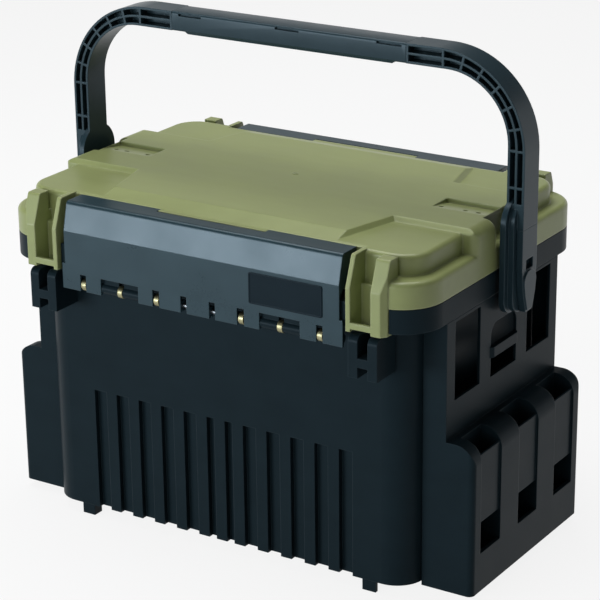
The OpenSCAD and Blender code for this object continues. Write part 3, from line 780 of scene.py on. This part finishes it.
@dataclass
class LatchFlap:
    """A latch flap with its brass hinge, on one long side."""

    side: Side
    plastic: MouldedPlastic = GRAPHITE
    hinge_y: float = 163 * MM
    hinge_z: float = 268 * MM
    bush_x: tuple[float, ...] = (49.0 * MM, 92.5 * MM, 136.5 * MM)
    bush_radius: float = 6.2 * MM
    bush_length: float = 5.6 * MM
    pin_radius: float = 2.5 * MM
    pin_half: float = 156 * MM
    pin_dome: float = 1.1 * MM
    bush_chamfer: float = 0.45 * MM
    bush_rim: float = 0.9 * MM
    bush_dish: float = 0.6 * MM
    bush_step: float = 1.5 * MM

    @property
    def word(self) -> str:
        """The side's name in the nodes' names."""
        return self.side.name.lower()

    def axis(self, x: float) -> Vector:
        """Returns the point of the hinge axis at X."""
        return Vector((x, self.side.value * self.hinge_y, self.hinge_z))

    def build(self) -> list[str]:
        """Dresses the flap and models its hinge.

        Returns:
            The names of the pieces.
        """
        dress(f"{self.word}_flap", self.plastic.material())
        brass = TurnedMetal(
            f"{self.word}_brass",
            (0.34, 0.32, 0.19),
            (0.17, 0.16, 0.09),
            self.axis(0).y,
            self.hinge_z,
            0.38,
        ).material()
        bushes = place(
            self._bushes(), Body.BOX, Slot.BRASS, brass, f"{self.word}_hinge_bushes"
        )
        steel = TurnedMetal(
            f"{self.word}_steel",
            (0.20, 0.22, 0.24),
            (0.10, 0.11, 0.12),
            self.axis(0).y,
            self.hinge_z,
            0.3,
        ).material()
        pin = place(self._pin(), Body.BOX, Slot.STEEL, steel, f"{self.word}_hinge_pin")
        return [f"{self.word}_flap", bushes.name, pin.name]

    def _bushes(self) -> bpy.types.Object:
        """Models one turned bush, with dished ends, and repeats it along the hinge.

        Returns:
            The bushes, as one piece.
        """
        half = self.bush_length / 2
        bush = round_bar(
            f"{self.word}_turned_bushes", self.axis(-half), 2 * half, self.bush_radius, 48
        )
        with editing(bush):
            pick(bush, Pick.EDGES, lambda centre, along: abs(along.x) < 0.1)
            bpy.ops.mesh.bevel(offset=self.bush_chamfer, segments=3)
            pick(bush, Pick.FACES, lambda centre, normal: abs(normal.x) > 0.999)
            bpy.ops.mesh.inset(thickness=self.bush_rim, use_individual=True)
            bpy.ops.transform.resize(value=(1 - self.bush_dish / self.bush_length, 1.0, 1.0))
            to_bore = self.bush_radius - self.pin_radius - self.bush_step
            bpy.ops.mesh.inset(thickness=to_bore, use_individual=True)
            bpy.ops.mesh.bridge_edge_loops()
        smooth(bush)
        return copies(
            bush, [Vector((s * x, 0.0, 0.0)) for s in (-1, 1) for x in self.bush_x]
        )

    def _pin(self) -> bpy.types.Object:
        """Models the hinge pin, with domed ends.

        Returns:
            The pin.
        """
        pin = round_bar(
            f"{self.word}_drawn_pin", self.axis(-self.pin_half), 2 * self.pin_half, self.pin_radius, 32
        )
        with editing(pin):
            pick(pin, Pick.EDGES, lambda centre, along: abs(along.x) < 0.1)
            bpy.ops.mesh.bevel(offset=self.pin_dome, segments=5)
        smooth(pin)
        return pin


@dataclass
class NamePlate:
    """The bare plate on the front flap: a raised border round a slightly sunk field."""

    plastic: MouldedPlastic = PLATE
    corner: float = 2 * MM
    border: float = 1.6 * MM
    sunk: float = 0.35 * MM
    edge_bevel: float = 0.14 * MM

    def build(self) -> list[str]:
        """Models the plate.

        Returns:
            The names of the pieces.
        """
        low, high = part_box("name_plate")
        plate = block("bare_plate", low, high)
        with editing(plate):
            pick(plate, Pick.EDGES, lambda centre, along: abs(along.y) > 0.9)
            bpy.ops.mesh.bevel(offset=self.corner, segments=6)
            pick(plate, Pick.FACES, lambda centre, normal: normal.y < -0.9)
            bpy.ops.mesh.inset(thickness=self.border)
            bpy.ops.mesh.extrude_region_move(
                TRANSFORM_OT_translate={"value": (0.0, self.sunk, 0.0)}
            )
            pick(plate, Pick.EDGES, lambda centre, along: centre.y < low.y + self.sunk / 4)
            bpy.ops.mesh.bevel(offset=self.edge_bevel, segments=2)
        smooth(plate)
        place(plate, Body.FRONT_LATCH, Slot.PLATE, self.plastic.material(), "name_plate")
        return [plate.name]


@dataclass
class Handle:
    """The bail handle with its grip shell, pivot covers and pins."""

    plastic: MouldedPlastic = SATIN
    wall: float = 3 * MM
    lip_inset_x: float = 12 * MM
    lip_slope: float = 5 * MM
    lip_inset_y: float = 2 * MM
    lip_height: float = 3 * MM
    top_round: float = 2.5 * MM
    slot_x: tuple[float, ...] = (-113.3 * MM, 1.5 * MM, 116.3 * MM)
    slot_size: tuple[float, float] = (27 * MM, 2.6 * MM)
    slot_drop: float = 1.6 * MM
    lip_bevel: float = 1.0 * MM
    lip_taper: float = 0.9
    pivot: tuple[float, float] = (6 * MM, 295 * MM)

    def build(self) -> list[str]:
        """Dresses the handle and models its grip.

        Returns:
            The names of the pieces.
        """
        material = self.plastic.material()
        for node in ("handle_bail", "pivot_covers"):
            dress(node, material)
        steel = TurnedMetal(
            "pivot_steel", (0.58, 0.60, 0.62), (0.40, 0.41, 0.42), *self.pivot, 0.3
        )
        dress("pivot_pins", steel.material())
        grip = place(self._grip(), Body.HANDLE, Slot.HANDLE, material, "handle_grip")
        return ["handle_bail", "pivot_covers", "pivot_pins", grip.name]

    def _grip(self) -> bpy.types.Object:
        """Models the grip: a rounded tube with a lip below and three slots in front.

        Returns:
            The grip.
        """
        low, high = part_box("handle_grip")
        bar_low = Vector((low.x, low.y, low.z + self.lip_height))
        grip = block("grip_shell", bar_low, high)
        with editing(grip):
            pick(grip, Pick.EDGES, lambda c, a: abs(a.x) > 0.9 and c.z > high.z - MM)
            bpy.ops.mesh.bevel(offset=self.top_round, segments=6)
            pick(grip, Pick.EDGES, lambda c, a: abs(a.x) > 0.9 and c.z < bar_low.z + MM)
            bpy.ops.mesh.bevel(offset=self.top_round / 2, segments=4)
            pick(grip, Pick.FACES, lambda c, n: abs(n.x) > 0.9)
            bpy.ops.mesh.inset(thickness=self.wall, use_individual=True)
            bpy.ops.mesh.bridge_edge_loops()
            bpy.ops.mesh.select_all(action="SELECT")
            bpy.ops.mesh.normals_make_consistent(inside=False)
        carve(grip, self._lip(low, bar_low, high), "UNION")
        for x in self.slot_x:
            length, width = self.slot_size
            corner = Vector((x - length / 2, low.y - MM, high.z - self.slot_drop - width))
            reach = Vector((length, MM + width, width))
            carve(grip, block("slot", corner, corner + reach), "DIFFERENCE")
        smooth(grip)
        return grip

    def _lip(self, low: Vector, bar_low: Vector, high: Vector) -> bpy.types.Object:
        """Models the lip under the bar, with sloped ends.

        Args:
            low: The grip's lowest corner.
            bar_low: The bar's lowest corner.
            high: The grip's highest corner.

        Returns:
            The lip.
        """
        start = Vector((low.x + self.lip_inset_x, low.y + self.lip_inset_y, low.z))
        end = Vector((high.x - self.lip_inset_x, high.y - self.lip_inset_y, bar_low.z + MM))
        lip = block("lip", start, end)
        with editing(lip):
            pick(lip, Pick.FACES, lambda c, n: n.z < -0.9)
            share = 1 - 2 * self.lip_slope / (end.x - start.x)
            bpy.ops.transform.resize(value=(share, self.lip_taper, 1.0))
            pick(lip, Pick.EDGES, lambda c, a: c.z < low.z + 0.1 * MM)
            bpy.ops.mesh.bevel(offset=self.lip_bevel, segments=3)
        return lip


@dataclass
class Tray:
    """The sliding tray with its dividers."""

    plastic: MouldedPlastic = SMOKE

    def build(self) -> list[str]:
        """Dresses the tray's CAD nodes.

        Returns:
            The names of the pieces.
        """
        material = self.plastic.material()
        for node in ("tray", "tray_dividers"):
            dress(node, material)
        return ["tray", "tray_dividers"]


# ---------- studio ----------


@dataclass(frozen=True)
class Softbox:
    """One soft lamp of the studio."""

    name: str
    place: Colour
    aim: Colour
    size: tuple[float, float]
    power: float
    colour: Colour = (1.0, 1.0, 1.0)

    def build(self) -> None:
        """Hangs the lamp and turns it to its aim."""
        data = bpy.data.lights.new(self.name, "AREA")
        data.shape = "RECTANGLE"
        data.size, data.size_y = self.size
        data.energy = self.power
        data.color = self.colour
        lamp = bpy.data.objects.new(self.name, data)
        bpy.context.scene.collection.objects.link(lamp)
        lamp.location = self.place
        towards = Vector(self.aim) - Vector(self.place)
        lamp.rotation_mode = "QUATERNION"
        lamp.rotation_quaternion = towards.to_track_quat("-Z", "Y")


@dataclass
class Studio:
    """The floor, the lamps, the surroundings and the camera."""

    azimuth: float = 32.81
    elevation: float = 21.06
    roll: float = -0.74
    distance: float = 2.3658
    floor_size: float = 80.0
    floor_drop: float = 0.2 * MM
    target: Colour = (-0.0018, 0.0005, 0.1786)
    focal_px: float = 2310.2
    centre_px: tuple[float, float] = (292.9, 342.96)
    frame_px: float = 600.0
    surround: float = 0.09
    ceiling: float = 0.06
    backdrop_fade: tuple[float, float] = (0.16, 0.34)
    lamps: tuple[Softbox, ...] = (
        Softbox("top_light", (-0.35, 0.2, 2.0), (0, 0, 0.25), (1.6, 1.3), 35),
        Softbox("front_light", (-1.15, -2.2, 0.40), (0, 0, 0.32), (1.3, 0.62), 34, (0.9, 0.96, 1.0)),
        Softbox("fill_light", (0.1, -2.5, 0.8), (0, 0, 0.25), (1.0, 0.8), 10),
    )

    def build(self) -> list[str]:
        """Sets up the studio.

        Returns:
            The names of what was set up.
        """
        self._floor()
        self._world()
        for lamp in self.lamps:
            lamp.build()
        self._camera()
        scene = bpy.context.scene
        scene.view_settings.view_transform = "Standard"
        return ["studio_floor", "studio_camera", *(lamp.name for lamp in self.lamps)]

    def _floor(self) -> None:
        """Lays the paper floor."""
        deselect()
        bpy.ops.mesh.primitive_plane_add(size=self.floor_size, location=(0, 0, -self.floor_drop))
        floor = settle("studio_floor")
        floor.data.materials.append(StudioPaper().material())

    def _world(self) -> None:
        """Surrounds the box with soft light and a backdrop that is white up to head height."""
        world = bpy.data.worlds.new("studio")
        g = Graph(world)
        towards = g.node("ShaderNodeTexCoord", output="Generated")
        height = g.node("ShaderNodeSeparateXYZ", inputs={0: towards}, output="Z")
        low, high = self.backdrop_fade
        overhead = ((height - low) * (1.0 / (high - low))).clamped()
        backdrop = g.mix(overhead, (1.0, 1.0, 1.0), tint((1.0, 1.0, 1.0), self.ceiling))
        soft = g.node(
            "ShaderNodeBackground", inputs={"Color": (0.96, 0.98, 1.0, 1.0), "Strength": self.surround}
        )
        white = g.node("ShaderNodeBackground", inputs={"Color": backdrop, "Strength": 1.0})
        g.end(g.node("ShaderNodeMixShader", inputs={0: seen_rays(g), 1: soft, 2: white}))
        bpy.context.scene.world = world

    def _camera(self) -> None:
        """Places the camera at the photograph's angle."""
        data = bpy.data.cameras.new("studio_camera")
        data.sensor_width = 36.0
        data.lens = self.focal_px / self.frame_px * data.sensor_width
        data.shift_x = (self.frame_px / 2 - self.centre_px[0]) / self.frame_px
        data.shift_y = (self.centre_px[1] - self.frame_px / 2) / self.frame_px
        data.clip_start, data.clip_end = 0.1, 50.0
        camera = bpy.data.objects.new("studio_camera", data)
        bpy.context.scene.collection.objects.link(camera)
        a, e = math.radians(self.azimuth), math.radians(self.elevation)
        back = Vector((math.sin(a) * math.cos(e), -math.cos(a) * math.cos(e), math.sin(e)))
        right = (-back).cross(Vector((0, 0, 1))).normalized()
        up = right.cross(-back)
        r = math.radians(self.roll)
        turned = (math.cos(r) * right + math.sin(r) * up, -math.sin(r) * right + math.cos(r) * up)
        stand = Vector(self.target) + back * self.distance
        camera.matrix_world = Matrix.Translation(stand) @ Matrix(
            (turned[0], turned[1], back)
        ).transposed().to_4x4()
        bpy.context.scene.camera = camera


def main() -> None:
    """Builds every sub-assembly in order and reports it."""
    logging.basicConfig(level=logging.INFO, format="%(message)s")
    parts = {
        "studio": Studio(),
        "box": Box(),
        "lid": Lid(),
        "front latch": LatchFlap(Side.FRONT),
        "rear latch": LatchFlap(Side.REAR),
        "name plate": NamePlate(),
        "handle": Handle(),
        "tray": Tray(),
    }
    for name, part in parts.items():
        for piece in part.build():
            LOG.info("%s: %s", name, piece)


if __name__ == "__main__":
    main()
